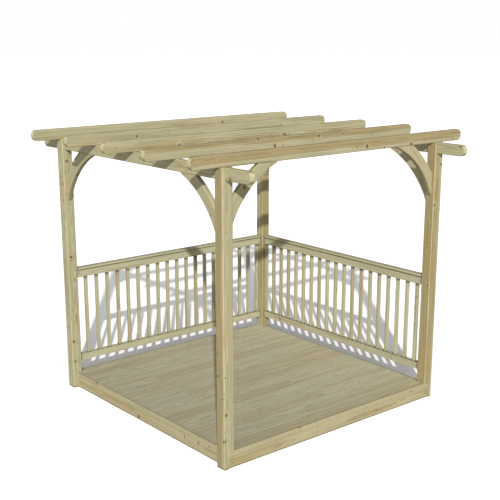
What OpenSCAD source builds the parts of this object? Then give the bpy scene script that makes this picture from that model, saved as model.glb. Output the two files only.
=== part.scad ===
// Open timber pergola standing over a low deck, with balustrades on two sides.
// X runs along the rafters, Y along the beams and Z up. The front is towards -Y.
// The origin lies at ground level under the middle of the deck.

/* [Overall] */
// Width over the outer faces of the posts, along the rafters
span_x = 2406; // [1800:1:3000]
// Depth over the outer faces of the posts, along the beams
span_y = 2360; // [1800:1:3000]
// Height of the underside of the beams above the ground
beam_underside = 2221; // [2000:1:2500]

/* [Posts] */
// Side of a square post
post_w = 95; // [80:1:120]
// Radius of the eased edges of a post
post_round = 8; // [3:1:12]
// Thickness of the outer half of a post that runs down past the deck
foot_t = 47.5; // [30:0.5:60]
// Play on each side of a beam in its slot, and of a spindle in its groove
joint_gap = 0.5; // [0.2:0.1:1.5]

/* [Beams] */
// Thickness of a beam
beam_t = 45; // [35:1:60]
// Height of a beam
beam_h = 95; // [80:1:150]
// Length of a beam past the outer face of a post
beam_overhang = 274; // [120:1:400]
// Radius of the rounded corners at the ends of beams and rafters
end_round = 42; // [10:1:60]
// Radius of the eased long edges of beams and rafters
edge_round = 6; // [2:0.5:12]

/* [Rafters] */
// Number of rafters
rafter_count = 5; // [3:1:7]
// Thickness of a rafter
rafter_t = 45; // [35:1:60]
// Height of a rafter
rafter_h = 95; // [80:1:150]
// Length of a rafter past the outer face of a post
rafter_overhang = 259; // [120:1:400]
// Depth of the shallow housing that seats a rafter on the beams
rafter_housing = 3; // [1:0.5:10]

/* [Braces] */
// Thickness of a brace
brace_t = 40; // [35:1:60]
// Distance from the corner of post and beam to either tip of a brace
brace_reach = 446; // [300:1:560]
// Width of a brace between its two curved edges
brace_w = 89; // [60:1:110]
// Radius of the hollow edge of a brace
brace_radius = 780; // [600:10:1400]
// Length of the blunt cut at each tip of a brace
brace_end = 8; // [3:1:15]

/* [Deck] */
// Height of the walking surface above the ground
deck_level = 139; // [110:1:250]
// Thickness of the deck boards
board_t = 28; // [20:1:38]
// Thickness of the fascia boards round the deck
fascia_t = 16; // [12:1:28]
// Gap between the fascia boards and the ground
fascia_lift = 1; // [0:1:20]
// Step back from the outer face of a post to the fascia beside it
fascia_step = 5; // [0:1:20]
// Number of joists under the boards
joist_count = 6; // [4:1:9]
// Thickness of a joist
joist_t = 45; // [35:1:60]
// Height of a joist
joist_h = 95; // [60:1:104]

/* [Balustrades] */
// Height of the top of the handrail above the deck
rail_height = 996; // [850:1:1200]
// Width of the rails
rail_w = 50; // [40:1:60]
// Height of the body of the handrail
rail_body_h = 60; // [45:1:95]
// Width of the cap on the handrail
cap_w = 70; // [60:1:90]
// Height of the cap on the handrail
cap_h = 20; // [16:1:30]
// Radius of the rounded edges of the cap
cap_round = 8; // [3:0.5:12]
// Height of the shadow line between the body of the handrail and its cap
neck_h = 12; // [4:1:20]
// Width of the neck behind the shadow line
neck_w = 30; // [20:1:36]
// Height of the bottom rail
bottom_rail_h = 62; // [45:1:95]
// Gap between the deck and the bottom rail
bottom_rail_gap = 104; // [60:1:160]
// Side of a square spindle
spindle_w = 29; // [24:1:36]
// Distance from one spindle to the next
spindle_pitch = 115; // [80:1:130]
// Depth of the grooves that hold the ends of the spindles
groove_depth = 10; // [5:1:20]
// Distance from the shared corner post to the middle of the first spindle at the back
back_spindle_start = 42; // [20:1:60]
// Distance from the shared corner post to the middle of the first spindle at the side
side_spindle_start = 20; // [20:1:60]

/* [Hidden] */
$fn = 48;
half_x = span_x / 2;
half_y = span_y / 2;
post_mid_x = half_x - post_w / 2;
post_mid_y = half_y - post_w / 2;
bay_x = span_x - 2 * post_w;
bay_y = span_y - 2 * post_w;
beam_top = beam_underside + beam_h;
rafter_bottom = beam_top - rafter_housing;
deck_half_x = half_x - foot_t;
deck_half_y = half_y - fascia_step;
boards_half_x = deck_half_x - fascia_t;
boards_half_y = deck_half_y - fascia_t;
boards_bottom = deck_level - board_t;
bottom_rail_z = deck_level + bottom_rail_gap;
bottom_rail_top = bottom_rail_z + bottom_rail_h;
handrail_z = deck_level + rail_height - cap_h - neck_h - rail_body_h;
spindle_z = bottom_rail_top - groove_depth;
spindle_len = handrail_z + groove_depth - spindle_z;
groove_w = spindle_w + 2 * joint_gap;
least_flat = 2; // least flat left between two rounded corners
cut = 1; // how far a cutting shape runs past the face it cuts

// ---- shared shapes ----

// Rectangle with its lower left corner at the origin and four round corners
module rounded_rect(w, h, r) {
    translate([r, 0])
        square([w - 2 * r, h]);
    translate([0, r])
        square([w, h - 2 * r]);
    for (x = [r, w - r], y = [r, h - r])
        translate([x, y])
            circle(r);
}

// Stands a profile drawn in X and Z upright, centred on Y
module upright(t) {
    translate([0, t / 2, 0])
        rotate([90, 0, 0])
            linear_extrude(t)
                children();
}

// Runs a profile drawn in Y and Z along X for a length
module run(length) {
    rotate([90, 0, 90])
        linear_extrude(length)
            children();
}

// Turns what is drawn along X so that it runs along Y
module along_y() {
    rotate([0, 0, 90])
        children();
}

// Moves a part drawn for the front left corner to the corner on sides sx and sy
module at_corner(sx, sy) {
    scale_x = sx > 0 ? [1, 0, 0] : [0, 0, 0];
    scale_y = sy > 0 ? [0, 1, 0] : [0, 0, 0];
    mirror(scale_x)
        mirror(scale_y)
            translate([-half_x, -half_y, 0])
                children();
}

// ---- frame ----

// Post, with its outer corner at the origin. The inner half stops at the deck, and
// a slot in the top holds the beam.
module post(sx, sy) {
    slot_w = beam_t + 2 * joint_gap;
    color([0.84, 0.74, 0.50])
        at_corner(sx, sy)
            difference() {
                linear_extrude(beam_top)
                    rounded_rect(post_w, post_w, post_round);
                translate([foot_t, -cut, -cut])
                    cube([post_w, post_w + 2 * cut, deck_level + cut]);
                translate([(post_w - slot_w) / 2, -cut, beam_underside])
                    cube([slot_w, post_w + 2 * cut, beam_h + cut]);
            }
}

// Long timber with eased long edges and rounded corners at both ends, centred on X,
// resting on z = 0. The corners are limited by the height of the timber.
module long_timber(length, t, h) {
    corner = min(end_round, (h - least_flat) / 2);
    intersection() {
        upright(t)
            translate([-length / 2, 0])
                rounded_rect(length, h, corner);
        translate([-length / 2, 0, 0])
            run(length)
                translate([-t / 2, 0])
                    rounded_rect(t, h, edge_round);
    }
}

module beam(side) {
    color([0.83, 0.79, 0.55])
        translate([side * post_mid_x, 0, beam_underside])
            along_y()
                long_timber(span_y + 2 * beam_overhang, beam_t, beam_h);
}

// Rafter i, housed over both beams. The first and the last sit on the posts too.
module rafter(i) {
    y = -post_mid_y + (i - 1) * 2 * post_mid_y / (rafter_count - 1);
    on_post = i == 1 || i == rafter_count;
    seat_w = (on_post ? post_w : beam_t) + 2 * joint_gap;
    color([0.85, 0.80, 0.54])
        translate([0, y, rafter_bottom])
            difference() {
                long_timber(span_x + 2 * rafter_overhang, rafter_t, rafter_h);
                for (x = [-post_mid_x, post_mid_x])
                    translate([x - seat_w / 2, -rafter_t / 2 - cut, -cut])
                        cube([seat_w, rafter_t + 2 * cut, rafter_housing + cut]);
            }
}

// ---- braces ----

// Side view of a brace, with the inner corner of post and beam at the origin: two
// edges curved about one centre, trimmed by the post and the beam, with blunt tips
module brace_profile() {
    half_chord = (brace_reach - brace_end) / sqrt(2);
    rise = sqrt(brace_radius * brace_radius - half_chord * half_chord);
    centre = (brace_reach + brace_end) / 2 + rise / sqrt(2);
    difference() {
        intersection() {
            translate([0, -brace_reach])
                square(brace_reach);
            translate([centre, -centre])
                circle(brace_radius + brace_w, $fn = 240);
        }
        translate([centre, -centre])
            circle(brace_radius, $fn = 240);
    }
}

// Brace from a post up to the underside of the beam
module beam_brace(sx, sy) {
    color([0.80, 0.72, 0.48])
        at_corner(sx, sy)
            translate([post_w / 2, post_w, beam_underside])
                along_y()
                    upright(brace_t)
                        brace_profile();
}

// Brace from a post up to the underside of the rafter over it
module rafter_brace(sx, sy) {
    color([0.84, 0.76, 0.52])
        at_corner(sx, sy)
            translate([post_w, post_w / 2, rafter_bottom])
                upright(brace_t)
                    brace_profile();
}

// ---- deck ----

// Fascia across the front or the back, between the feet of the posts
module fascia_across(side) {
    color([0.82, 0.72, 0.45])
        translate([-deck_half_x, side * (deck_half_y - fascia_t / 2) - fascia_t / 2, fascia_lift])
            cube([2 * deck_half_x, fascia_t, deck_level - fascia_lift]);
}

// Fascia along the left or the right side, between the other two
module fascia_along(side) {
    color([0.80, 0.71, 0.46])
        translate([side * (deck_half_x - fascia_t / 2) - fascia_t / 2, -boards_half_y, fascia_lift])
            cube([fascia_t, 2 * boards_half_y, deck_level - fascia_lift]);
}

// Joist i, counted from the left. The outer ones lie against the side fascias.
module deck_joist(i) {
    first = -boards_half_x;
    step = (2 * boards_half_x - joist_t) / (joist_count - 1);
    color([0.78, 0.72, 0.50])
        translate([first + (i - 1) * step, -boards_half_y, boards_bottom - joist_h])
            cube([joist_t, 2 * boards_half_y, joist_h]);
}

// The boarded surface, flush with the tops of the fascias
module deck_boards() {
    color([0.74, 0.70, 0.54])
        translate([-boards_half_x, -boards_half_y, boards_bottom])
            cube([2 * boards_half_x, 2 * boards_half_y, board_t]);
}

// ---- balustrades ----

// The two balustrades are drawn along X from the shared corner post, which lies at
// the origin, towards +X. These modules turn and place them.
module at_back() {
    translate([half_x - post_w, post_mid_y, 0])
        mirror([1, 0, 0])
            children();
}

module at_right() {
    translate([post_mid_x, half_y - post_w, 0])
        rotate([0, 0, -90])
            children();
}

// Handrail: a grooved body and, over a narrow neck, a wider cap with rounded edges
module handrail(length) {
    cap_corner = min(cap_round, (cap_h - least_flat) / 2);
    color([0.80, 0.75, 0.50])
        translate([0, 0, handrail_z])
            run(length) {
                difference() {
                    translate([-rail_w / 2, 0])
                        square([rail_w, rail_body_h]);
                    translate([-groove_w / 2, -cut])
                        square([groove_w, groove_depth + cut]);
                }
                translate([-neck_w / 2, rail_body_h])
                    square([neck_w, neck_h]);
                translate([-cap_w / 2, rail_body_h + neck_h])
                    rounded_rect(cap_w, cap_h, cap_corner);
            }
}

module bottom_rail(length) {
    color([0.83, 0.78, 0.53])
        translate([0, 0, bottom_rail_z])
            run(length)
                difference() {
                    translate([-rail_w / 2, 0])
                        square([rail_w, bottom_rail_h]);
                    translate([-groove_w / 2, bottom_rail_h - groove_depth])
                        square([groove_w, groove_depth + cut]);
                }
}

// Square spindles at an even pitch, as many as fit the length
module spindles(length, start) {
    count = floor((length - start - spindle_w / 2) / spindle_pitch) + 1;
    color([0.82, 0.76, 0.52])
        for (i = [0:count - 1])
            translate([start + i * spindle_pitch - spindle_w / 2, -spindle_w / 2, spindle_z])
                cube([spindle_w, spindle_w, spindle_len]);
}

// ---- nodes ----

post(-1, -1);  // post_front_left
post(1, -1);  // post_front_right
post(-1, 1);  // post_back_left
post(1, 1);  // post_back_right
beam(-1);  // beam_left
beam(1);  // beam_right
for (i = [1:rafter_count])
    rafter(i);
beam_brace(-1, -1);  // brace_front_left_beam
rafter_brace(-1, -1);  // brace_front_left_rafter
beam_brace(1, -1);  // brace_front_right_beam
rafter_brace(1, -1);  // brace_front_right_rafter
beam_brace(-1, 1);  // brace_back_left_beam
rafter_brace(-1, 1);  // brace_back_left_rafter
beam_brace(1, 1);  // brace_back_right_beam
rafter_brace(1, 1);  // brace_back_right_rafter
fascia_across(-1);  // fascia_front
fascia_across(1);  // fascia_back
fascia_along(-1);  // fascia_left
fascia_along(1);  // fascia_right
for (i = [1:joist_count])
    deck_joist(i);
deck_boards();
at_back() handrail(bay_x);  // handrail_back
at_back() bottom_rail(bay_x);  // bottom_rail_back
at_back() spindles(bay_x, back_spindle_start);  // spindles_back
at_right() handrail(bay_y);  // handrail_right
at_right() bottom_rail(bay_y);  // bottom_rail_right
at_right() spindles(bay_y, side_spindle_start);  // spindles_right
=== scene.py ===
"""Looks of an open timber pergola: eased timbers, grooved deck boards, screws, finishes and a stage.

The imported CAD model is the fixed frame. Its timbers stay, with eased edges and finishes of their
own, and only the slab of the deck gives way to separate boards. All lengths are in metres.
"""

import math

import bpy
import numpy as np
from mathutils import Euler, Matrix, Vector


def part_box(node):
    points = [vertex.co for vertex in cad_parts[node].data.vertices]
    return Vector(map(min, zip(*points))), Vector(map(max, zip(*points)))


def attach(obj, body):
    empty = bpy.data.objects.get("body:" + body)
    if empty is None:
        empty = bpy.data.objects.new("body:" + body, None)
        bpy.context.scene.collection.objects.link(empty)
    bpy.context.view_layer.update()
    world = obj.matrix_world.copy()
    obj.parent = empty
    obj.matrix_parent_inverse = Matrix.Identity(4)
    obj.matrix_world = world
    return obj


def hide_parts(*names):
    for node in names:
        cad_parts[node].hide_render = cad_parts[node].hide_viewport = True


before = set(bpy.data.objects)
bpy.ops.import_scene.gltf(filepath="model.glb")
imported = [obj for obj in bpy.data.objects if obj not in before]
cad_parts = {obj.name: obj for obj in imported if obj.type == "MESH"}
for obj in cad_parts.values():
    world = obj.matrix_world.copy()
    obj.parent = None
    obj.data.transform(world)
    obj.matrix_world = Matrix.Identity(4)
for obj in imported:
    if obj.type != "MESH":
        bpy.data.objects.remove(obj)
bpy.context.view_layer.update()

bl_info = {
    "name": "Timber Pergola Finish",
    "version": (1, 0, 0),
    "blender": (4, 5, 0),
    "location": "3D View > Sidebar > Pergola",
    "description": "Dresses a packed pergola with wood, deck boards, screws and a stage",
    "category": "Object",
}

RIDES_ON = "root"

# How each kind of timber is turned, so that its grain runs along the pattern's X
ALONG_X = (0.0, 0.0, 0.0)
ALONG_Y = (0.0, 0.0, math.radians(90))
ALONG_Z = (0.0, math.radians(-90), 0.0)

# Where the middle of the tree runs through a timber, along Y and Z of its pattern, and how far out
# its brown heart reaches
HEARTS = {
    "post_front_left": (0.015, 0.009, 0.052),
    "post_front_right": (-0.003, 0.012, 0.056),
    "post_back_left": (0.010, -0.010, 0.030),
    "post_back_right": (-0.045, 0.010, 0.045),
    "beam_left": (-0.070, 0.0, 0.030),
    "beam_right": (-0.050, 0.020, 0.030),
    "rafter_1": (0.018, 0.020, 0.052),
    "rafter_2": (0.018, 0.035, 0.050),
    "rafter_3": (0.036, -0.020, 0.060),
    "rafter_4": (0.040, -0.022, 0.058),
    "rafter_5": (0.036, -0.028, 0.058),
    "fascia_front": (0.048, -0.020, 0.054),
    "fascia_back": (0.050, 0.010, 0.045),
    "fascia_left": (-0.048, -0.005, 0.054),
    "fascia_right": (0.050, 0.020, 0.045),
}
BRACE_HEART = (0.05, 0.02, 0.03)
JOIST_HEART = (0.03, 0.03, 0.05)
RAIL_HEART = (0.05, -0.07, 0.03)
SPINDLE_HEART = (0.02, 0.03, 0.03)
BOARD_PITH = (0, 0, -0.03)
BOARD_HEART = (0.13, -0.055)  # what brownness adds to the reach of a board's heart, and the least
PITH_SPREAD = 0.07  # width of the range over which the piths of like timbers are spread

# Every timber has a seed from this range, and like timbers in one piece a step more each
SEEDS = (1, 60)
SEED_STEP = 1.37

# Noise drawn out along the grain: waves to the metre along it and across it, and detail
WANDER = (0.8, 0.0, 2.0)
WAVER = (3.0, 9.0, 2.0)
RING_WAVER = (1.5, 20.0, 2.0)
RAGGED_HEART = (1.6, 60.0, 3.0)
BAND = (1.1, 42.0, 3.0)
STREAK = (1.6, 130.0, 3.0)
FIBRE = (22.0, 1100.0, 2.0)
CLOUD = (1.3, 5.0, 2.0)

WAVER_SIZE = 0.012  # how far the rings waver
RING_SHIFT = 0.9  # how far their waver shifts them, in ring widths
HEART_RAGS = 0.04  # how ragged the heart's edge is
HEART_BLUR = 0.006  # how soft that edge is, either way

# The colours that the softwood takes, and the settings that they come from
TINTS = {
    "Sapwood": "sapwood",
    "Heartwood": "heartwood",
    "Green": "green",
    "Latewood": "latewood",
    "Knot Color": "knot",
    "End Grain": "arris",
}

# How strongly each mark is laid over the ground tone of the wood
STRENGTH = {
    "green": 0.85,
    "heart": 0.85,
    "halo": 0.45,
    "knot": 0.88,
    "end grain": 0.75,
    "damp_and_shade": 0.9,
    "slant": 0.7,
}

# Values between which each mark sets in
RISE = {
    "late": (0.35, 0.9),  # part of a ring's width
    "next ring": (1.0, 0.93),
    "green": (0.40, 0.65),  # noise
    "streak": (0.52, 0.76),
    "band": (0.54, 0.76),
    "end face": (0.45, 0.8),  # share of the normal along the grain
    "flat side": (0.4, 0.8),  # the same across it
    "looks up": (0.6, 0.92),  # share of the normal upwards
    "slants down": (-0.15, -0.5),
    "not level": (-0.99, -0.9),
    "stain": (0.45, 0.65),
}

DAMP_AND_SHADE_FOOT = (0.016, 0.004)  # heights between which the darkening at the ground sets in, as damp and painted contact shade
RAIL_SHADED_ENDS = (0.016, 0.016)  # lengths of a rail's ends darkened with painted shade where they meet the posts
SPINDLE_SHADED_ENDS = (0.020, 0.042)  # the same for a spindle, foot first, with painted shade at both ends

KNOT_SPACING = 0.17  # length of timber that may have one big knot
PIN_SPACING = 0.10  # the same for a small knot
PIN_SIZE = 0.45  # size of a small knot, as a share of a big one
KNOT_LEAN = 0.3  # how far a knot leans along the grain for each metre outwards
KNOT_GROWTH = (-0.01, 0.06)  # distances from the pith between which it grows to full size
LEAST_KNOT = 0.0004  # its least radius
KNOT_EDGE = (1.1, 0.8)  # where its edge begins and ends, in its radii
KNOT_HALO = (3.0, 0.9)  # the same for the darker wood round it
BEND_REACH = 2.4  # how far out it bends the rings, in its radii
BEND_SIZE = 1.3  # how far it bends them, in its radii

# The two curved edges of a brace are parts of circles with one middle
BRACE_MIDDLE = 0.7216  # from the middle of the brace to that of the circles
BRACE_HOLLOW = 0.780  # radius of the hollow edge
BRACE_BACK = 0.869  # radius of the back

POST_EASE = 0.0015  # width of the posts' eased edges
EASE = {"fascia": 0.7, "board": 0.8, "rail": 0.5, "spindle": 0.8}  # shares of the full width
SAME_POINT = 0.00001  # vertices closer than this are one

BOARD_VALUES = ("board_number", "board_middle", "board_brown")  # what a board's vertices carry
BOARD_DROP = 0.0006  # how far a board may sit low
BROWN_BOARDS = 14  # the boards before this number tend to be brown
DECK_PAINTED_LIGHT = 0.09  # how much paler the boards get for each metre to the right, as painted light

HEAD_STAND = 0.0014  # how far a screw head stands out of a plain face
HEAD_SINK = 0.0008  # how far it lies below the top of a board
BOARD_END_SET = 0.012  # from the end of a board to its last screws
FASCIA_END_SET = 0.06  # the same for a fascia
RAIL_END_SET = 0.03  # the same for a rail
HANDRAIL_SET = 0.035  # from the underside of a handrail to its screws
BRACE_SCREW_REACH = 0.26  # from the middle of a brace to its screws
SCREW_STRAY = 0.003  # how far a board's screw may be off its line
BOARD_SCREWS = (-0.3, 0.3)  # from the middle line of a board, as shares of its width
FASCIA_SCREWS = (0.3, 0.7)  # from the foot of a fascia, as shares of its height

KEY_DIRECTION = (0.757, 1.0, -0.642)  # the way the sun shines
SIDE_DIRECTION = (0.78, 0.5, -0.35)  # the way the broad soft light shines
SIDE_SIZE = math.radians(70)
FLOOR_RADIUS = 120.0
SHADE_DEPTH = 0.42  # how much darker the painted shade makes the floor seen at the far sides of the deck
SHADE_REACH = 0.65  # distance over which most of that fades out
SHADE_SLANT = 0.6  # share of X in the sum with Y by which it sets in
SHADE_START = (-0.2, 0.6)  # sums between which it sets in
SHADE_LEFT = (-1.25, -0.95)  # places in X between which it sets in too
CAMERA_PLACE = (-5.3689, -6.4733, 3.2894)
CAMERA_TURN = (75.144, 0.0, -39.848)  # in degrees
CAMERA_SHIFT = 0.0603


# ---- settings ----


def tint(name, description, *color):
    """A colour setting."""
    return bpy.props.FloatVectorProperty(
        name=name, description=description, default=color, subtype="COLOR", size=3
    )


def measure(name, description, default, least, most, make=bpy.props.FloatProperty, **unit):
    """A setting of one number, with its limits."""
    return make(name=name, description=description, default=default, min=least, max=most, **unit)


def length(*setting):
    """The same for a length."""
    return measure(*setting, subtype="DISTANCE", unit="LENGTH")


class PergolaWood(bpy.types.PropertyGroup):
    """Colours and scale of the pressure treated softwood."""

    sapwood: tint("Sapwood", "Pale outer wood, between the growth rings", 0.54, 0.478, 0.280)
    rail: tint("Rail Sapwood", "Pale wood of the rails and spindles", 0.580, 0.544, 0.358)
    rail_green: tint("Rail Green", "Green tinge in the rails and spindles", 0.535, 0.52, 0.34)
    rail_brown: tint("Rail Heartwood", "Browner wood of some spindles", 0.47, 0.40, 0.24)
    heartwood: tint("Heartwood", "Browner wood near the middle of the tree", 0.405, 0.312, 0.136)
    green: tint("Green Tinge", "Tinge that the preservative leaves", 0.495, 0.475, 0.285)
    rafter: tint("Rafter Sapwood", "Colour of the pale wood in the rafters", 0.570, 0.515, 0.318)
    fascia_green: tint("Fascia Green", "Greener clouds in the fascias", 0.52, 0.465, 0.275)
    latewood: tint("Latewood", "Dark line of each growth ring", 0.27, 0.205, 0.10)
    knot: tint("Knots", "Dark wood of the knots", 0.11, 0.06, 0.025)
    arris: tint("Worn and Highlit Arris", "Pale wood on the eased edges, partly rubbed and partly painted highlight", 0.68, 0.60, 0.36)
    weathering_and_shade: tint("Weathered and Shaded Faces", "Tint that darkens faces looking up, as weathering and painted shade, and downward slants, as painted shade", 0.56, 0.55, 0.50)
    damp_and_shade: tint("Damp and Shaded Joints", "Darkening tint, as damp and painted shade, at the ground and in the joints", 0.30, 0.30, 0.28)
    ring_width: length("Ring Width", "From one growth ring to the next", 0.0048, 0.002, 0.012)
    ease: length("Eased Edge", "Width of the timbers' eased edges", 0.003, 0.001, 0.006)


class PergolaDeck(bpy.types.PropertyGroup):
    """Sizes and colours of the boards and screws of the deck."""

    boards: measure("Boards", "Number from front to back", 19, 8, 30, bpy.props.IntProperty)
    gap: length("Gap", "Gap between two boards", 0.005, 0.002, 0.010)
    end_gap: length("End Gap", "Half the gap between the ends of two boards", 0.0008, 0.0004, 0.003)
    ribs: measure("Ribs", "Number of ribs along each board", 13, 4, 24, bpy.props.IntProperty)
    rib_depth: length("Rib Depth", "Depth of the grooves between the ribs", 0.0018, 0.0005, 0.004)
    screw: length("Screw Head", "Radius of a screw head", 0.0044, 0.002, 0.008)
    grey: tint("Board Tone", "Duller tone of the boards", 0.437, 0.408, 0.282)
    green: tint("Board Green", "Greener parts of the boards", 0.42, 0.40, 0.285)
    brown: tint("Board Heartwood", "Browner parts of the boards", 0.385, 0.335, 0.215)
    steel: tint("Screw Steel", "Dull coated steel of the screws", 0.13, 0.11, 0.08)


class PergolaStage(bpy.types.PropertyGroup):
    """Light, floor and camera."""

    sun: measure("Sun", "Strength of the key light", 3.0, 0.0, 10.0)
    sun_size: measure(
        "Sun Softness", "Angle that the key light fills, which softens its shadows",
        math.radians(1.0), 0.0, math.radians(20), subtype="ANGLE", unit="ROTATION",
    )
    side: measure("Side Light", "Strength of the broad light from the front left", 0.5, 0.0, 4.0)
    fill: measure("Fill", "Strength of the even light from all round", 0.28, 0.0, 2.0)
    sky: tint("Fill Colour", "Colour of the even light", 0.88, 0.96, 1.0)
    floor: tint("Floor", "Colour of the floor", 0.42, 0.42, 0.42)
    paper: tint("Floor in View", "Floor as it is seen, laid on twice", 0.868, 0.818, 0.810)
    lens: measure("Lens", "Focal length in millimetres", 69.50, 20.0, 200.0)


# ---- node trees ----


FLOAT = "NodeSocketFloat"
VECTOR = "NodeSocketVector"
COLOR = "NodeSocketColor"


class Net:
    """Adds nodes to a tree and links them, so that a pattern reads as a formula."""

    def __init__(self, tree):
        self.tree = tree

    def feed(self, node, values):
        """Links every socket that is given, and sets every plain value, at the input of its name."""
        for key, value in values.items():
            if isinstance(value, bpy.types.NodeSocket):
                self.tree.links.new(value, node.inputs[key])
            else:
                node.inputs[key].default_value = value

    def node(self, kind, values=None, **settings):
        made = self.tree.nodes.new(kind)
        for name, value in settings.items():
            setattr(made, name, value)
        self.feed(made, values or {})
        return made

    def math(self, operation, *values):
        return self.node("ShaderNodeMath", dict(enumerate(values)), operation=operation).outputs[0]

    def times(self, first, second):
        return self.math("MULTIPLY", first, second)

    def plus(self, first, second):
        return self.math("ADD", first, second)

    def minus(self, first, second):
        return self.math("SUBTRACT", first, second)

    def vector(self, operation, *values):
        return self.node("ShaderNodeVectorMath", dict(enumerate(values)), operation=operation).outputs[0]

    def split(self, vector):
        return self.node("ShaderNodeSeparateXYZ", {0: vector}).outputs

    def join(self, x, y, z):
        return self.node("ShaderNodeCombineXYZ", {0: x, 1: y, 2: z}).outputs[0]

    def noise(self, vector, scale=1.0, detail=2.0):
        values = {"Vector": vector, "Scale": scale, "Detail": detail}
        return self.node("ShaderNodeTexNoise", values).outputs

    def linear(self, value, slope, start):
        """The value times the slope, plus the start."""
        return self.math("MULTIPLY_ADD", value, slope, start)

    def distance(self, first, second):
        """How far two steps at right angles go: the root of the sum of their squares."""
        return self.math("SQRT", self.linear(first, first, self.times(second, second)))

    def step(self, value, low, high):
        """A smooth rise from 0 at low to 1 at high."""
        values = {0: value, 1: low, 2: high}
        return self.node("ShaderNodeMapRange", values, interpolation_type="SMOOTHSTEP").outputs[0]

    def mix(self, share, first, second, blend="MIX"):
        values = {0: share, 6: first, 7: second}
        settings = {"data_type": "RGBA", "blend_type": blend, "clamp_factor": True}
        return self.node("ShaderNodeMix", values, **settings).outputs[2]

    def dimmed(self, color, share):
        """A colour times one number."""
        return self.mix(1.0, color, self.join(share, share, share), "MULTIPLY")

    def group(self, tree, values):
        return self.node("ShaderNodeGroup", values, node_tree=tree).outputs


def new_group(name, inputs, outputs):
    """The net of a new node group with named sockets, and its input and output nodes' sockets.

    An input with three numbers is a vector, with four a colour, and with one a plain value.
    """
    tree = bpy.data.node_groups.new(name, "ShaderNodeTree")
    for socket_name, default in inputs.items():
        kind = {3: VECTOR, 4: COLOR}.get(np.size(default), FLOAT)
        socket = tree.interface.new_socket(socket_name, in_out="INPUT", socket_type=kind)
        socket.default_value = default
    for socket_name, kind in outputs.items():
        tree.interface.new_socket(socket_name, in_out="OUTPUT", socket_type=kind)
    net = Net(tree)
    return net, net.node("NodeGroupInput").outputs, net.node("NodeGroupOutput")


def shared_group(name, build):
    """The node group of that name, built the first time that it is asked for."""
    return bpy.data.node_groups.get(name) or build(name)


def knot_row_group(name):
    """Knots as branches: in each length of timber one straight cone grows from the pith outwards.

    The cone's axis leaves the pith at a random place and angle and leans along the grain. A point's
    distance from that axis, over the cone's radius there, tells how far into the knot it lies. The
    rings around are bent by a bell curve of the same distance.
    """
    net, given, end = new_group(
        name,
        {"Vector": (0, 0, 0), "Seed": 0.0, "Spacing": 0.6, "Radius": 0.012, "Share": 0.7},
        {"Knot": FLOAT, "Halo": FLOAT, "Bend": FLOAT},
    )
    x, y, z = net.split(given["Vector"])
    cell = net.math("FLOOR", net.math("DIVIDE", x, given["Spacing"]))
    own = {"Vector": net.join(cell, given["Seed"], 0.37)}
    dice = net.node("ShaderNodeTexWhiteNoise", own, noise_dimensions="3D").outputs["Color"]
    place, turn, luck = net.split(dice)
    in_cell = net.linear(place, 0.5, 0.25)  # in the middle half of its length
    middle = net.times(net.plus(cell, in_cell), given["Spacing"])
    angle = net.times(turn, 2 * math.pi)
    cosine, sine = net.math("COSINE", angle), net.math("SINE", angle)
    outward = net.linear(y, cosine, net.times(z, sine))
    sideways = net.minus(net.times(z, cosine), net.times(y, sine))
    along = net.minus(net.minus(x, middle), net.times(outward, KNOT_LEAN))
    wobble = net.linear(net.noise(given["Vector"], 90.0)[0], 0.5, 0.75)
    away = net.times(wobble, net.distance(along, sideways))
    size = net.linear(luck, 0.6, 0.5)
    growth = net.times(net.step(outward, *KNOT_GROWTH), size)
    radius = net.math("MAXIMUM", net.times(growth, given["Radius"]), LEAST_KNOT)
    chosen = net.math("LESS_THAN", luck, given["Share"])
    here = net.times(chosen, net.math("GREATER_THAN", outward, 0.002))
    ratio = net.math("DIVIDE", away, radius)
    square = net.math("POWER", net.math("DIVIDE", ratio, BEND_REACH), 2.0)
    bell = net.math("EXPONENT", net.times(square, -1.0))
    bend = net.times(net.times(here, bell), net.times(radius, BEND_SIZE))
    knot = net.times(here, net.step(ratio, *KNOT_EDGE))
    halo = net.times(here, net.step(ratio, *KNOT_HALO))
    net.feed(end, {"Knot": knot, "Halo": halo, "Bend": bend})
    return net.tree


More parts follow.
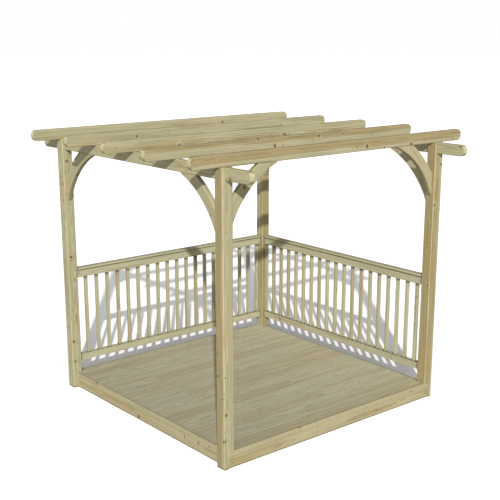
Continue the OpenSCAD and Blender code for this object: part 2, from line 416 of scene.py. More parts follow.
def softwood_group(name):
    """Solid softwood: growth rings are rounds about a wandering pith, so sides and ends agree.

    The ring number is the distance from the pith, with the knots' bends, over the ring width. Its
    fraction rises slowly to the dark latewood and drops at once. Wood nearer the pith than the
    heart radius is browner. Streaks and fibres are noise drawn out along the grain.
    """
    net, given, end = new_group(
        name,
        {
            "Vector": (0, 0, 0),
            "Normal": (0, 0, 1),
            "Seed": 0.0,
            "Pith": (0, 0.02, 0.05),
            "Heart Radius": 0.055,
            "Wander": 0.05,
            "Ring Width": 0.005,
            "Knot Share": 0.95,
            "Knot Radius": 0.012,
            "Contrast": 0.75,
            **{socket: (0.5, 0.4, 0.2, 1) for socket in TINTS},
        },
        {"Color": COLOR, "Roughness": FLOAT, "Height": FLOAT},
    )
    shift = net.times(given["Seed"], 7.31)
    place = net.vector("ADD", given["Vector"], net.join(shift, shift, shift))

    def drawn_out(along, across, detail):
        return net.noise(net.vector("MULTIPLY", place, (along, across, across)), 1.0, detail)

    # The pith's way through the timber, and the waver of the rings about it
    wander = net.vector("SUBTRACT", drawn_out(*WANDER)[1], (0.5, 0.5, 0.5))
    waver = net.vector("SUBTRACT", drawn_out(*WAVER)[1], (0.5, 0.5, 0.5))
    sway = net.join(0.0, given["Wander"], given["Wander"])
    bent = net.vector("ADD", given["Vector"], net.vector("MULTIPLY", wander, sway))
    bent = net.vector("ADD", bent, net.vector("MULTIPLY", waver, (0.0, WAVER_SIZE, WAVER_SIZE)))
    from_pith = net.vector("SUBTRACT", bent, given["Pith"])

    # Big and small knots
    knot_row = shared_group("Knot Row", knot_row_group)
    branch = {"Vector": from_pith, "Seed": given["Seed"], "Share": given["Knot Share"]}
    big = net.group(knot_row, {**branch, "Spacing": KNOT_SPACING, "Radius": given["Knot Radius"]})
    pin_radius = net.times(given["Knot Radius"], PIN_SIZE)
    pin = net.group(knot_row, {**branch, "Spacing": PIN_SPACING, "Radius": pin_radius})
    halo = net.math("MAXIMUM", big["Halo"], pin["Halo"])
    knot = net.math("MAXIMUM", big["Knot"], pin["Knot"])

    # Rings, some years darker than others
    distance = net.distance(*net.split(from_pith)[1:])
    distance = net.plus(distance, net.plus(big["Bend"], pin["Bend"]))
    ring = net.math("DIVIDE", distance, given["Ring Width"])
    ring = net.plus(ring, net.times(drawn_out(*RING_WAVER)[0], RING_SHIFT))
    part = net.math("FRACT", ring)
    late = net.times(net.step(part, *RISE["late"]), net.step(part, *RISE["next ring"]))
    number = {"W": net.math("FLOOR", ring)}
    year = net.node("ShaderNodeTexWhiteNoise", number, noise_dimensions="1D").outputs[0]
    late = net.times(late, net.linear(year, 0.7, 0.3))

    # Heartwood with a ragged edge
    ragged = net.minus(drawn_out(*RAGGED_HEART)[0], 0.5)
    edge = net.linear(ragged, HEART_RAGS, given["Heart Radius"])
    heart = net.step(distance, net.plus(edge, HEART_BLUR), net.minus(edge, HEART_BLUR))

    # Colours, from the ground tone to the knots and the end grain
    band, streak, fibre, cloud = (drawn_out(*noise)[0] for noise in (BAND, STREAK, FIBRE, CLOUD))
    green = net.times(net.step(cloud, *RISE["green"]), STRENGTH["green"])
    color = net.mix(green, given["Sapwood"], given["Green"])
    color = net.mix(net.times(heart, STRENGTH["heart"]), color, given["Heartwood"])
    color = net.mix(net.times(late, given["Contrast"]), color, given["Latewood"])
    streaks, bands = net.step(streak, *RISE["streak"]), net.step(band, *RISE["band"])
    dark = net.times(net.math("MAXIMUM", streaks, bands), given["Contrast"])
    color = net.mix(dark, color, given["Latewood"])
    tone = net.plus(net.times(band, 0.5), net.times(streak, 0.5))
    depth = net.times(given["Contrast"], 1.6)
    shade = net.linear(net.minus(tone, 0.5), depth, 1.0)
    color = net.dimmed(color, net.times(shade, net.linear(fibre, 0.16, 0.92)))
    color = net.mix(net.times(halo, STRENGTH["halo"]), color, given["Heartwood"])
    color = net.mix(net.times(knot, STRENGTH["knot"]), color, given["Knot Color"])
    end_face = net.step(net.math("ABSOLUTE", net.split(given["Normal"])[0]), *RISE["end face"])
    color = net.mix(net.times(end_face, STRENGTH["end grain"]), color, given["End Grain"])

    rough = net.linear(streak, 0.16, net.linear(late, -0.08, 0.66))
    height = net.linear(late, 0.5, net.times(fibre, 0.5))
    height = net.minus(height, net.times(knot, 0.35))
    net.feed(end, {"Color": color, "Roughness": rough, "Height": height})
    return net.tree


def arc_group(name):
    """Painted highlight on a curved brace's back arris: 1 near the circle that its edge follows.

    The distance is the point's radius about the circle's middle less the circle's radius, and only
    the two flat sides show it.
    """
    net, given, end = new_group(
        name,
        {"Vector": (0, 0, 0), "Normal": (0, 1, 0), "Middle": 0.0, "Radius": 1.0, "Width": 0.008},
        {"Mask": FLOAT},
    )
    x, _, z = net.split(given["Vector"])
    radius = net.distance(x, net.minus(z, given["Middle"]))
    away = net.math("ABSOLUTE", net.minus(radius, given["Radius"]))
    near = net.step(away, given["Width"], net.times(given["Width"], 0.5))
    flat = net.step(net.math("ABSOLUTE", net.split(given["Normal"])[1]), *RISE["flat side"])
    net.feed(end, {"Mask": net.times(near, flat)})
    return net.tree


def arris_group(name):
    """Arris wear and painted highlight: 1 where both distances to a timber's long faces are small.

    Each distance is the half size less the coordinate's size, and noise along the edge breaks the
    line up, as rubbing does.
    """
    net, given, end = new_group(
        name,
        {"Vector": (0, 0, 0), "Half Size": (1.0, 0.05, 0.05), "Width": 0.006, "Seed": 0.0},
        {"Mask": FLOAT},
    )
    inside = net.vector("SUBTRACT", given["Half Size"], net.vector("ABSOLUTE", given["Vector"]))
    far = net.math("MAXIMUM", *net.split(inside)[1:])
    drift = net.join(net.times(given["Seed"], 3.7), 0, 0)
    moved = net.vector("ADD", given["Vector"], drift)
    rubbed = net.noise(net.vector("MULTIPLY", moved, (6, 60, 60)))[0]
    width = net.times(given["Width"], net.linear(rubbed, 1.6, 0.2))
    net.feed(end, {"Mask": net.step(far, width, net.times(width, 0.35))})
    return net.tree


def new_material(name):
    """A material, the net of its nodes and its shader."""
    material = bpy.data.materials.new(name)
    material.use_nodes = True
    return material, Net(material.node_tree), material.node_tree.nodes["Principled BSDF"]


class Finishes:
    """The wood's colours, the shared node groups and the materials made with them."""

    def __init__(self, wood):
        self.wood = wood
        self.softwood = shared_group("Treated Softwood", softwood_group)
        self.arris = shared_group("Arris Wear and Highlight", arris_group)
        self.arc = shared_group("Curved Arris Highlight", arc_group)
        self.tints = {socket: (*getattr(wood, key), 1) for socket, key in TINTS.items()}

    def dress(self, node, turn, seed, heart, ease, repeat=None, **changes):
        """Gives a CAD node wood of its own and eased edges.

        With repeat, the node holds like timbers at a pitch, and the pattern is made for one.
        """
        middle, half = middle_and_half(node)
        if repeat:
            axis = repeat[0]
            middle[axis], half[axis] = 0.0, half[1 - axis]
        y, z, changes["Heart Radius"] = heart
        size = grain_half(half, turn)
        material = self.timber(node, middle, turn, size, seed, (0, y, z), repeat=repeat, **changes)
        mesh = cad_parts[node].data
        mesh.materials.clear()
        mesh.materials.append(material)
        ease_edges(node, ease)

    def timber(
        self, name, middle, turn, half, seed, pith,
        worn=0.0, top=0.8, arc=None, ends=(0, 0), repeat=None, boards=False, **changes,
    ):
        """Wood whose grain follows one timber, with that timber's middle, turn and half size.

        The paling of the arrises sets how pale they are, as wear and painted highlight, and top how much
        darker the faces that look up are, as weathering and painted shade. Arc gives the middle and the
        radius of a curved arris, and ends the lengths of the two ends darkened as damp and painted shade.
        Repeat gives the axis, the start and the pitch of like timbers in one piece, each with its
        own wood. Anything else goes to the softwood group's socket of that name.
        """
        material, net, shader = new_material(name)
        place = net.node("ShaderNodeTexCoord").outputs["Object"]
        if repeat:
            place, seed, pith = self.own_cell(net, place, seed, repeat, pith)
        if boards:
            place, seed, pith, changes["Heart Radius"] = self.own_board(net, place, seed, pith)
        normal = net.node("ShaderNodeNewGeometry").outputs["Normal"]
        grain = self.turned(net, place, turn, middle)
        facing = self.turned(net, normal, turn)
        values = {"Vector": grain, "Normal": facing, "Seed": seed, "Pith": pith}
        values["Ring Width"] = self.wood.ring_width
        out = net.group(self.softwood, {**values, **self.tints, **changes})
        if arc:
            circle = {"Vector": grain, "Normal": facing, "Middle": arc[0], "Radius": arc[1]}
            arris_wear_and_highlight = net.group(self.arc, circle)["Mask"]
        else:
            edges = {"Vector": grain, "Half Size": half, "Seed": seed}
            arris_wear_and_highlight = net.group(self.arris, edges)["Mask"]
        # Paler arrises: wear, and painted highlight
        color = net.mix(net.times(arris_wear_and_highlight, worn), out["Color"], (*self.wood.arris, 1))
        color = self.weathering_and_shade(net, color, net.split(normal)[2], top)
        # Darker near the ground, as damp and painted contact shade, and at the given ends, as painted
        # shade in the joints
        damp_and_shade = net.step(net.split(place)[2], *DAMP_AND_SHADE_FOOT)
        if any(ends):
            along = net.split(grain)[0]
            first = net.step(along, ends[0] - half[0], 0.5 * ends[0] - half[0])
            last = net.step(along, half[0] - ends[1], half[0] - 0.5 * ends[1])
            damp_and_shade = net.math("MAXIMUM", damp_and_shade, net.math("MAXIMUM", first, last))
        color = net.mix(net.times(damp_and_shade, STRENGTH["damp_and_shade"]), color, (*self.wood.damp_and_shade, 1), "MULTIPLY")
        # Painted light: the boards get paler towards the right
        if boards:
            color = net.dimmed(color, net.linear(net.split(place)[0], DECK_PAINTED_LIGHT, 1.0))
        relief = {"Height": out["Height"], "Strength": 0.5, "Distance": 0.0006}
        bump = net.node("ShaderNodeBump", relief).outputs[0]
        look = {"Base Color": color, "Roughness": out["Roughness"], "Normal": bump}
        net.feed(shader, {**look, "Specular IOR Level": 0.3})
        return material

    def turned(self, net, vector, turn, middle=(0, 0, 0)):
        """A vector in the axes of a timber with that middle and turn."""
        values = {"Vector": vector, "Location": middle, "Rotation": turn}
        return net.node("ShaderNodeMapping", values, vector_type="TEXTURE").outputs[0]

    def weathering_and_shade(self, net, color, upward, top):
        """Darkens upward faces, as weathering and painted shade, and paints shade on downward slants."""
        darkened_tops = (*(1.0 - top * (1.0 - channel) for channel in self.wood.weathering_and_shade), 1)
        color = net.mix(net.step(upward, *RISE["looks up"]), color, darkened_tops, "MULTIPLY")
        # Painted shade on faces that look down at a slant, such as the lower rounded arrises
        slanting = net.step(upward, *RISE["slants down"])
        painted_slant_shade = net.times(slanting, net.step(upward, *RISE["not level"]))
        painted_slant_shade = net.times(painted_slant_shade, STRENGTH["slant"])
        return net.mix(painted_slant_shade, color, (*self.wood.weathering_and_shade, 1), "MULTIPLY")

    def own_cell(self, net, place, seed, repeat, pith):
        """Coordinates within one of several like timbers, and a seed and a pith for each."""
        axis, start, pitch = repeat
        parts = list(net.split(place))
        from_first = net.minus(parts[axis], start - pitch / 2)
        number = net.math("FLOOR", net.math("DIVIDE", from_first, pitch))
        parts[axis] = net.minus(parts[axis], net.linear(number, pitch, start))
        own_seed = net.linear(number, SEED_STEP, seed)
        return net.join(*parts), own_seed, self.spread_pith(net, own_seed, pith)

    def own_board(self, net, place, seed, pith):
        """The same for the deck: each board carries its number, middle line and brownness."""
        number, middle, brown = (
            net.node("ShaderNodeAttribute", attribute_name=name).outputs["Fac"] for name in BOARD_VALUES
        )
        x, y, z = net.split(place)
        own_place = net.join(x, net.minus(y, middle), z)
        own_seed = net.linear(number, SEED_STEP, seed)
        heart_radius = net.linear(brown, *BOARD_HEART)
        return own_place, own_seed, self.spread_pith(net, own_seed, pith), heart_radius

    def spread_pith(self, net, own_seed, pith):
        """The pith's place, moved by the timber's own seed."""
        dice = net.node("ShaderNodeTexWhiteNoise", {"W": own_seed}, noise_dimensions="1D").outputs["Color"]
        either_way = net.vector("SUBTRACT", dice, (0.5, 0.5, 0.5))
        shift = net.vector("MULTIPLY", either_way, (0, PITH_SPREAD, PITH_SPREAD))
        return net.vector("ADD", shift, pith)


# ---- meshes ----


def add_object(name, data):
    """A new object in the scene, at the origin."""
    made = bpy.data.objects.new(name, data)
    bpy.context.scene.collection.objects.link(made)
    return made


def new_piece(name, vertices, faces, material):
    """A piece of the object from arrays, at the origin, which rides on the frame."""
    mesh = bpy.data.meshes.new(name)
    mesh.from_pydata(vertices, [], faces)
    mesh.update()
    mesh.materials.append(material)
    piece = add_object(name, mesh)
    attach(piece, RIDES_ON)
    return piece


def named(*starts):
    """Names of the CAD nodes that begin with one of these words, in order."""
    return sorted(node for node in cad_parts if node.startswith(starts))


def ease_edges(node, width):
    """Rounds the sharp edges of a CAD node with modifiers alone."""
    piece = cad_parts[node]
    weld = piece.modifiers.new("Weld", "WELD")
    weld.merge_threshold = SAME_POINT
    flat = piece.modifiers.new("Flat Faces", "DECIMATE")
    flat.decimate_type = "DISSOLVE"
    flat.angle_limit = math.radians(0.5)
    bevel = piece.modifiers.new("Eased Edges", "BEVEL")
    bevel.width = width
    bevel.segments = 3
    bevel.limit_method = "ANGLE"
    bevel.angle_limit = math.radians(30)


def middle_and_half(node):
    """Middle and half size of a node's box."""
    low, high = (np.array(corner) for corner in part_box(node))
    return (low + high) / 2, (high - low) / 2


def grain_half(half, turn):
    """Half size in the pattern's axes: along the grain first."""
    order = {ALONG_Y: (1, 0, 2), ALONG_Z: (2, 1, 0)}.get(turn, (0, 1, 2))
    return tuple(half[axis] for axis in order)


def extruded(profile, start, stop):
    """A closed profile in Y and Z, carried along X: its points, its sides and its two ends."""
    count = len(profile)
    along = np.repeat([start, stop], count)[:, None]
    points = np.hstack([along, np.tile(profile, (2, 1))])
    this = np.arange(count)
    following = (this + 1) % count
    sides = np.stack([this + count, following + count, following, this], axis=1)
    return points, sides, np.stack([this, count + this[::-1]])


def board_profile(width, thickness, ribs, depth, ease):
    """Section of a grooved board about its own middle, top at 0.

    Between two flat margins the top is a cosine of the distance across, which dips by the depth
    once for each groove. The four corners are quarter rounds.
    """
    margin = 0.07 * width
    steps = ribs * 8 + 1
    across = np.linspace(-width / 2 + margin, width / 2 - margin, steps)
    dip = depth * (1 - np.cos(np.linspace(0, 2 * np.pi * ribs, steps))) / 2
    outline = [np.stack([across, -dip], axis=1)]
    turn = np.linspace(0, np.pi / 2, 5)
    right, left = width / 2 - ease, ease - width / 2
    top, bottom = -ease, ease - thickness
    corners = ((right, top, 1), (right, bottom, 0), (left, bottom, -1), (left, top, 2))
    for y, z, quarters in corners:
        angle = quarters * np.pi / 2 - turn
        outline.append(np.stack([y + ease * np.cos(angle), z + ease * np.sin(angle)], axis=1))
    return np.vstack(outline)


def screw_head(radius):
    """A countersunk head about its axis, top at 0: rings of points from the recess to the shank.

    The top dishes down to a star recess, whose radius swings with the cosine of six times the
    angle. Each ring's radius and height are shares of the head's radius.
    """
    count = 24
    angle = np.linspace(0, 2 * np.pi, count, endpoint=False)
    star = 1 + 0.22 * np.cos(6 * angle)
    even = np.ones(count)
    recess = ((0.36 * star, -0.30), (0.42 * star, -0.05))
    rim, shank = ((0.9 * even, 0.02), (even, -0.06)), ((0.45 * even, -0.7),)
    rings = (*recess, *rim, *shank)
    circles = [np.stack([r * np.cos(angle), r * np.sin(angle), z * even], axis=1) for r, z in rings]
    points = radius * np.vstack([*circles, [[0, 0, recess[0][1]], [0, 0, shank[0][1]]]])
    this = np.arange(count)
    following = (this + 1) % count
    turn = np.stack([this, this + count, following + count, following], axis=1)
    quads = np.vstack([turn + ring * count for ring in range(len(rings) - 1)])
    hub, last = len(rings) * count, (len(rings) - 1) * count
    top = np.stack([this, following, np.full(count, hub)], axis=1)
    bottom = np.stack([last + following, last + this, np.full(count, hub + 1)], axis=1)
    return points, quads, np.vstack([top, bottom])


def scattered(shape, places, facings):
    """Copies of a shape made for +Z at each place, turned to face along each facing."""
    points, quads, triangles = shape
    vertices, faces = [], []
    for index, (place, facing) in enumerate(zip(places, facings)):
        normal = np.array(facing, float)
        side = np.array((0.0, 0.0, 1.0)) if abs(normal[2]) < 0.5 else np.array((1.0, 0.0, 0.0))
        second = np.cross(normal, side)
        shift = index * len(points)
        vertices.append(points @ np.array([side, second, normal]) + place)
        faces += (quads + shift).tolist() + (triangles + shift).tolist()
    return np.vstack(vertices), faces


# ---- pieces ----


def brace_turn(node):
    """How a brace's pattern is turned, and how far up its own Z the middle of its curves lies."""
    along_beam = node.endswith("beam")
    near = "front" if along_beam else "left"
    lean = -45 if near in node else -135
    turn = (0, math.radians(lean), math.radians(90) if along_beam else 0)
    return turn, -BRACE_MIDDLE if near in node else BRACE_MIDDLE


class PERGOLA_OT_frame_timbers(bpy.types.Operator):
    """Gives the posts, beams, rafters and braces eased edges and wood"""

    bl_idname = "pergola.frame_timbers"
    bl_label = "Posts, Beams, Rafters and Braces"

    def execute(self, context):
        wood = context.scene.pergola_wood
        finishes = Finishes(wood)
        streaky = {"Contrast": 0.85, "Knot Radius": 0.014, "Wander": 0.022}
        dice = np.random.default_rng(11)
        for node in sorted(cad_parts):
            kind = node.split("_")[0]
            seed = float(dice.uniform(*SEEDS))
            if kind == "post":
                # The posts' arrises are paled, as wear and as painted highlight
                finishes.dress(node, ALONG_Z, seed, HEARTS[node], POST_EASE, worn=0.55)
            elif kind == "beam":
                finishes.dress(node, ALONG_Y, seed, HEARTS[node], wood.ease, worn=0.15)
            elif kind == "rafter":
                changes = {**streaky, "Sapwood": (*wood.rafter, 1)}
                finishes.dress(node, ALONG_X, seed, HEARTS[node], wood.ease, worn=0.15, **changes)
            elif kind == "brace":
                turn, bow = brace_turn(node)
                # The brace's back arris gets a painted highlight
                arc = (bow, BRACE_BACK)
                finishes.dress(node, turn, seed, BRACE_HEART, wood.ease, worn=0.9, arc=arc)
        return {"FINISHED"}


def joist_lines():
    """Middles of the joists, from left to right."""
    return sorted(float(middle_and_half(node)[0][0]) for node in named("deck_joist"))


def board_runs(deck):
    """Width of the boards, and each board's two ends and middle line.

    Every row is two boards that meet over an inner joist, never the one of the row before.
    """
    low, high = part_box("deck_boards")
    pitch = (high[1] - low[1] + deck.gap) / deck.boards
    inner = joist_lines()[1:-1]
    dice = np.random.default_rng(7)
    cut = None
    runs = []
    for row in range(deck.boards):
        cut = dice.choice([line for line in inner if line != cut])
        middle = low[1] + (pitch - deck.gap) / 2 + row * pitch
        runs.append((low[0] + deck.end_gap, cut - deck.end_gap, middle))
        runs.append((cut + deck.end_gap, high[0] - deck.end_gap, middle))
    return pitch - deck.gap, runs


def laid_boards(deck, ease):
    """All boards in one: one section carried along each, the first ones brown, each a little low.

    Gives the vertices, the faces and what every vertex carries for the finish.
    """
    low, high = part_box("deck_boards")
    width, runs = board_runs(deck)
    profile = board_profile(width, high[2] - low[2], deck.ribs, deck.rib_depth, ease)
    dice = np.random.default_rng(29)
    vertices, faces, values = [], [], []
    for number, (start, stop, middle) in enumerate(runs):
        points, sides, ends = extruded(profile, start, stop)
        shift = number * len(points)
        vertices.append(points + np.array((0, middle, high[2] - dice.uniform(0, BOARD_DROP))))
        faces += (sides + shift).tolist() + (ends + shift).tolist()
        brown = max(dice.uniform(), 1 - number / BROWN_BOARDS)
        values.append(np.tile((number, middle, brown), (len(points), 1)))
    return np.vstack(vertices), faces, np.vstack(values)


class PERGOLA_OT_deck(bpy.types.Operator):
    """Lays the grooved boards and finishes the fascias and joists"""

    bl_idname = "pergola.deck"
    bl_label = "Deck"

    def execute(self, context):
        wood, deck = context.scene.pergola_wood, context.scene.pergola_deck
        finishes = Finishes(wood)
        dice = np.random.default_rng(5)
        for node in named("fascia", "deck_joist"):
            turn = ALONG_X if node in ("fascia_front", "fascia_back") else ALONG_Y
            seed = float(dice.uniform(*SEEDS))
            heart = HEARTS.get(node, JOIST_HEART)
            green = (*wood.fascia_green, 1)
            finishes.dress(node, turn, seed, heart, EASE["fascia"] * wood.ease, Green=green)
        changes = {
            "Sapwood": (*deck.grey, 1),
            "Green": (*deck.green, 1),
            "Heartwood": (*deck.brown, 1),
            "Knot Share": 0.25,
            "Knot Radius": 0.008,
        }
        middle, half = middle_and_half("deck_boards")
        material = finishes.timber(
            "deck_boards_wood", middle, ALONG_X, half, 3.0, BOARD_PITH,
            boards=True, top=0.0, **changes,
        )
        vertices, faces, values = laid_boards(deck, EASE["board"] * wood.ease)
        boards = new_piece("grooved_boards", vertices, faces, material)
        for name, column in zip(BOARD_VALUES, values.T):
            layer = boards.data.attributes.new(name, "FLOAT", "POINT")
            layer.data.foreach_set("value", column.astype(np.float32))
        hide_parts("deck_boards")
        return {"FINISHED"}


class PERGOLA_OT_balustrades(bpy.types.Operator):
    """Finishes the rails and spindles"""

    bl_idname = "pergola.balustrades"
    bl_label = "Balustrades"

    def execute(self, context):
        wood = context.scene.pergola_wood
        finishes = Finishes(wood)
        dice = np.random.default_rng(23)
        pale = {
            "Sapwood": (*wood.rail, 1),
            "Green": (*wood.rail_green, 1),
            "Knot Share": 0.65,
            "Knot Radius": 0.009,
        }
        for node in named("handrail", "bottom_rail"):
            turn = ALONG_X if node.endswith("back") else ALONG_Y
            seed = float(dice.uniform(*SEEDS))
            ease = EASE["rail"] * wood.ease
            # Tops darker as weathering and painted shade; the bottom rail's top much more, as painted
            # shade in its spindle groove
            changes = {"ends": RAIL_SHADED_ENDS, "top": 0.6 if node.startswith("handrail") else 1.6}
            finishes.dress(node, turn, seed, RAIL_HEART, ease, **changes, **pale)
        pale["Heartwood"] = (*wood.rail_brown, 1)
        for node, axis in (("spindles_back", 0), ("spindles_right", 1)):
            centres = spindle_centres(node, axis)
            seed = float(dice.uniform(*SEEDS))
            row = (axis, float(centres[0]), float(np.diff(centres).mean()))
            ease = EASE["spindle"] * wood.ease
            changes = {"ends": SPINDLE_SHADED_ENDS, "repeat": row}
            finishes.dress(node, ALONG_Z, seed, SPINDLE_HEART, ease, **changes, **pale)
        return {"FINISHED"}


def spindle_centres(node, axis):
    """Middles of the spindles along a run: halfway between the two sides of each."""
    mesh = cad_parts[node].data
    places = np.zeros(len(mesh.vertices) * 3, np.float32)
    mesh.vertices.foreach_get("co", places)
    sides = np.unique(np.round(places.reshape(-1, 3)[:, axis].astype(float), 5))
    return sides.reshape(-1, 2).mean(axis=1)


def board_screws(deck):
    """Two screws a joist in every board, and those at its ends set back from the cut."""
    width, runs = board_runs(deck)
    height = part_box("deck_boards")[1][2] - HEAD_SINK
    lines = joist_lines()
    furthest = BOARD_END_SET + 2 * deck.end_gap
    dice = np.random.default_rng(41)
    spots = []
    for start, stop, middle in runs:
        for line in lines:
            x = min(max(line, start + BOARD_END_SET), stop - BOARD_END_SET)
            if abs(x - line) > furthest:
                continue
            for side in BOARD_SCREWS:
                nudge = dice.uniform(-SCREW_STRAY, SCREW_STRAY, 2)
                place = (x + nudge[0] * 0.5, middle + side * width + nudge[1], height)
                spots.append((place, (0, 0, 1)))
    return spots


def face_screw(box, axis, sign, along, height):
    """A screw in the face of a box that looks along plus or minus X or Y."""
    place = np.array((along, along, height))
    place[axis] = box[1 if sign > 0 else 0][axis] + sign * HEAD_STAND
    return place, np.eye(3)[axis] * sign


def fascia_screws():
    """Two screws, one above the other, at each joist and along the two outer joists."""
    spots = []
    joists = joist_lines()
    for side, axis, sign in (("front", 1, -1), ("back", 1, 1), ("left", 0, -1), ("right", 0, 1)):
        box = low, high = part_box("fascia_" + side)
        ends = low[1] + FASCIA_END_SET, high[1] - FASCIA_END_SET
        for line in joists if axis == 1 else np.linspace(*ends, len(joists)):
            for share in FASCIA_SCREWS:
                height = low[2] + share * (high[2] - low[2])
                spots.append(face_screw(box, axis, sign, line, height))
    return spots


def rail_screws():
    """A screw at each end of every rail, on both of its broad faces."""
    spots = []
    for side, axis in (("back", 0), ("right", 1)):
        box = low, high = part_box("bottom_rail_" + side)
        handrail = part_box("handrail_" + side)[0][2] + HANDRAIL_SET
        for height in ((low[2] + high[2]) / 2, handrail):
            for end in (low[axis] + RAIL_END_SET, high[axis] - RAIL_END_SET):
                for sign in (-1, 1):
                    spots.append(face_screw(box, 1 - axis, sign, end, height))
    return spots


def brace_screws():
    """A screw near each tip of every brace, square to its hollow edge."""
    spots = []
    for node in named("brace"):
        middle = Vector(middle_and_half(node)[0])
        turn, bow = brace_turn(node)
        turned = Euler(turn).to_matrix()
        for along in (-BRACE_SCREW_REACH, BRACE_SCREW_REACH):
            across = math.copysign(math.sqrt(BRACE_HOLLOW**2 - along**2), bow)
            inward = Vector((-along, 0, across)).normalized()
            edge = Vector((along, 0, bow - across)) + HEAD_STAND * inward
            spots.append((np.array(middle + turned @ edge), np.array(turned @ inward)))
    return spots


class PERGOLA_OT_screws(bpy.types.Operator):
    """Puts screws in the boards, the fascias, the braces and the ends of the rails"""

    bl_idname = "pergola.screws"
    bl_label = "Screws"

    def execute(self, context):
        deck = context.scene.pergola_deck
        material = steel_material(deck)
        head = screw_head(deck.screw)
        for name, slot, spots in (
            ("board_screws", "deck_board", board_screws(deck)),
            ("fascia_screws", "fascia_board", fascia_screws()),
            ("rail_screws", "balustrade_timber", rail_screws()),
            ("brace_screws", "roof_timber", brace_screws()),
        ):
            places, facings = zip(*spots)
            points, faces = scattered(head, np.array(places), facings)
            new_piece(name, points, faces, material)
        return {"FINISHED"}


def steel_material(deck):
    """Dull coated steel, darker and rougher where it has weathered."""
    material, net, shader = new_material("screw_steel")
    place = net.node("ShaderNodeTexCoord").outputs["Object"]
    patches = net.noise(place, 400.0, 3.0)[0]
    stained = (*(0.45 * channel for channel in deck.steel), 1)
    color = net.mix(net.step(patches, *RISE["stain"]), (*deck.steel, 1), stained)
    rough = net.linear(patches, 0.4, 0.3)
    net.feed(shader, {"Base Color": color, "Roughness": rough, "Metallic": 0.8})
    return material


def looked_at(net):
    """1 for what the camera, a reflection or clear glass shows, and 0 for the light on things."""
    rays = net.node("ShaderNodeLightPath").outputs
    shown = net.math("MAXIMUM", rays["Is Glossy Ray"], rays["Is Transmission Ray"])
    return net.math("MAXIMUM", rays["Is Camera Ray"], shown)


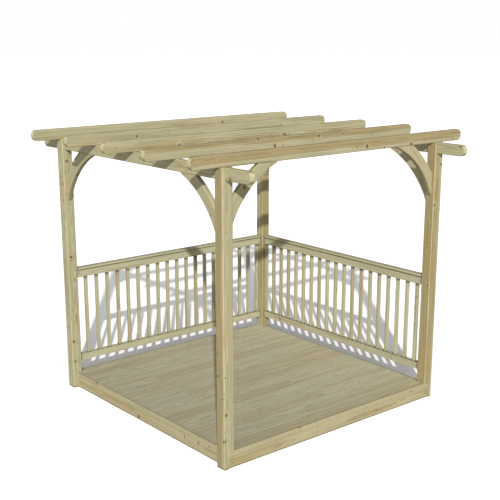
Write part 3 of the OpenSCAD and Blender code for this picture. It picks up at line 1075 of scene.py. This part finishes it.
class PERGOLA_OT_stage(bpy.types.Operator):
    """Sets up the floor, the lights and the camera"""

    bl_idname = "pergola.stage"
    bl_label = "Stage"

    def execute(self, context):
        stage = context.scene.pergola_stage
        self.floor(stage)
        self.lights(stage)
        context.scene.world = self.sky(stage)
        context.scene.camera = self.camera(stage)
        context.scene.view_settings.view_transform = "Standard"
        return {"FINISHED"}

    def floor(self, stage):
        """A wide round floor, seen white, with shadows in pale grey and painted shade behind the deck."""
        count = 96
        angle = np.linspace(0, 2 * np.pi, count, endpoint=False)
        ring = FLOOR_RADIUS * np.stack([np.cos(angle), np.sin(angle), np.zeros(count)], axis=1)
        mesh = bpy.data.meshes.new("floor")
        mesh.from_pydata(ring, [], [tuple(range(count))])
        add_object("floor", mesh)
        material, net, shader = new_material("pale_floor")
        net.tree.nodes.remove(shader)
        plain = net.node("ShaderNodeBsdfDiffuse", {"Color": (*stage.floor, 1)}).outputs[0]
        shown = net.dimmed((*stage.paper, 1), self.light_left(net))
        paper = net.node("ShaderNodeBsdfDiffuse", {"Color": shown}).outputs[0]
        seen = net.node("ShaderNodeAddShader", {0: paper, 1: paper}).outputs[0]
        surface = net.node("ShaderNodeMixShader", {0: looked_at(net), 1: plain, 2: seen}).outputs[0]
        net.feed(net.tree.nodes["Material Output"], {"Surface": surface})
        mesh.materials.append(material)

    def light_left(self, net):
        """Share of the seen floor's colour left under the painted shade where the deck shelters it.

        The loss falls off exponentially with the distance from the deck's outline. A sum of X and
        Y keeps it to the sides away from the lights, and X alone off the floor left of the deck.
        """
        reach = (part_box("fascia_right")[1][0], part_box("fascia_back")[1][1])
        x, y, _ = net.split(net.node("ShaderNodeTexCoord").outputs["Object"])
        beyond = (
            net.math("MAXIMUM", net.minus(net.math("ABSOLUTE", value), edge), 0.0)
            for value, edge in zip((x, y), reach)
        )
        near = net.math("EXPONENT", net.math("DIVIDE", net.distance(*beyond), -SHADE_REACH))
        far_side = net.step(net.linear(x, SHADE_SLANT, y), *SHADE_START)
        far_side = net.times(far_side, net.step(x, *SHADE_LEFT))
        return net.linear(net.times(near, far_side), -SHADE_DEPTH, 1.0)

    def lights(self, stage):
        """A sun from the front left, and a broad soft light from there too."""
        for name, energy, angle, direction in (
            ("key", stage.sun, stage.sun_size, KEY_DIRECTION),
            ("side", stage.side, SIDE_SIZE, SIDE_DIRECTION),
        ):
            lamp = bpy.data.lights.new(name, "SUN")
            lamp.energy = energy
            lamp.angle = angle
            light = add_object(name, lamp)
            light.rotation_euler = Vector(direction).to_track_quat("-Z", "Y").to_euler()

    def sky(self, stage):
        """Even light from all round, which is seen as white."""
        world = bpy.data.worlds.new("studio")
        world.use_nodes = True
        net = Net(world.node_tree)
        net.tree.nodes.clear()
        even = {"Color": (*stage.sky, 1), "Strength": stage.fill}
        fill = net.node("ShaderNodeBackground", even).outputs[0]
        white = net.node("ShaderNodeBackground", {"Color": (1, 1, 1, 1), "Strength": 1.0}).outputs[0]
        surface = net.node("ShaderNodeMixShader", {0: looked_at(net), 1: fill, 2: white}).outputs[0]
        net.node("ShaderNodeOutputWorld", {"Surface": surface})
        return world

    def camera(self, stage):
        """A camera a little above the roof, off the front left post."""
        data = bpy.data.cameras.new("camera")
        data.lens = stage.lens
        data.sensor_width = 36.0
        data.shift_y = CAMERA_SHIFT
        data.clip_end = 500.0
        camera = add_object("camera", data)
        camera.location = CAMERA_PLACE
        camera.rotation_euler = [math.radians(degrees) for degrees in CAMERA_TURN]
        return camera


class PERGOLA_PT_panel(bpy.types.Panel):
    """Lists the settings and the steps"""

    bl_idname = "PERGOLA_PT_panel"
    bl_label = "Pergola"
    bl_space_type = "VIEW_3D"
    bl_region_type = "UI"
    bl_category = "Pergola"

    def draw(self, context):
        for name in SETTINGS:
            settings = getattr(context.scene, name)
            for key in settings.bl_rna.properties.keys():
                if key not in ("rna_type", "name"):
                    self.layout.prop(settings, key)
        for step in STEPS:
            self.layout.operator(step.bl_idname)


SETTINGS = {"pergola_wood": PergolaWood, "pergola_deck": PergolaDeck, "pergola_stage": PergolaStage}
STEPS = (
    PERGOLA_OT_frame_timbers,
    PERGOLA_OT_deck,
    PERGOLA_OT_balustrades,
    PERGOLA_OT_screws,
    PERGOLA_OT_stage,
)
CLASSES = (*SETTINGS.values(), *STEPS, PERGOLA_PT_panel)


def register():
    for cls in CLASSES:
        bpy.utils.register_class(cls)
    for name, group in SETTINGS.items():
        setattr(bpy.types.Scene, name, bpy.props.PointerProperty(type=group))


def unregister():
    for name in SETTINGS:
        delattr(bpy.types.Scene, name)
    for cls in reversed(CLASSES):
        bpy.utils.unregister_class(cls)


def main():
    register()
    bpy.ops.pergola.frame_timbers()
    bpy.ops.pergola.deck()
    bpy.ops.pergola.balustrades()
    bpy.ops.pergola.screws()
    bpy.ops.pergola.stage()


if __name__ == "__main__":
    main()
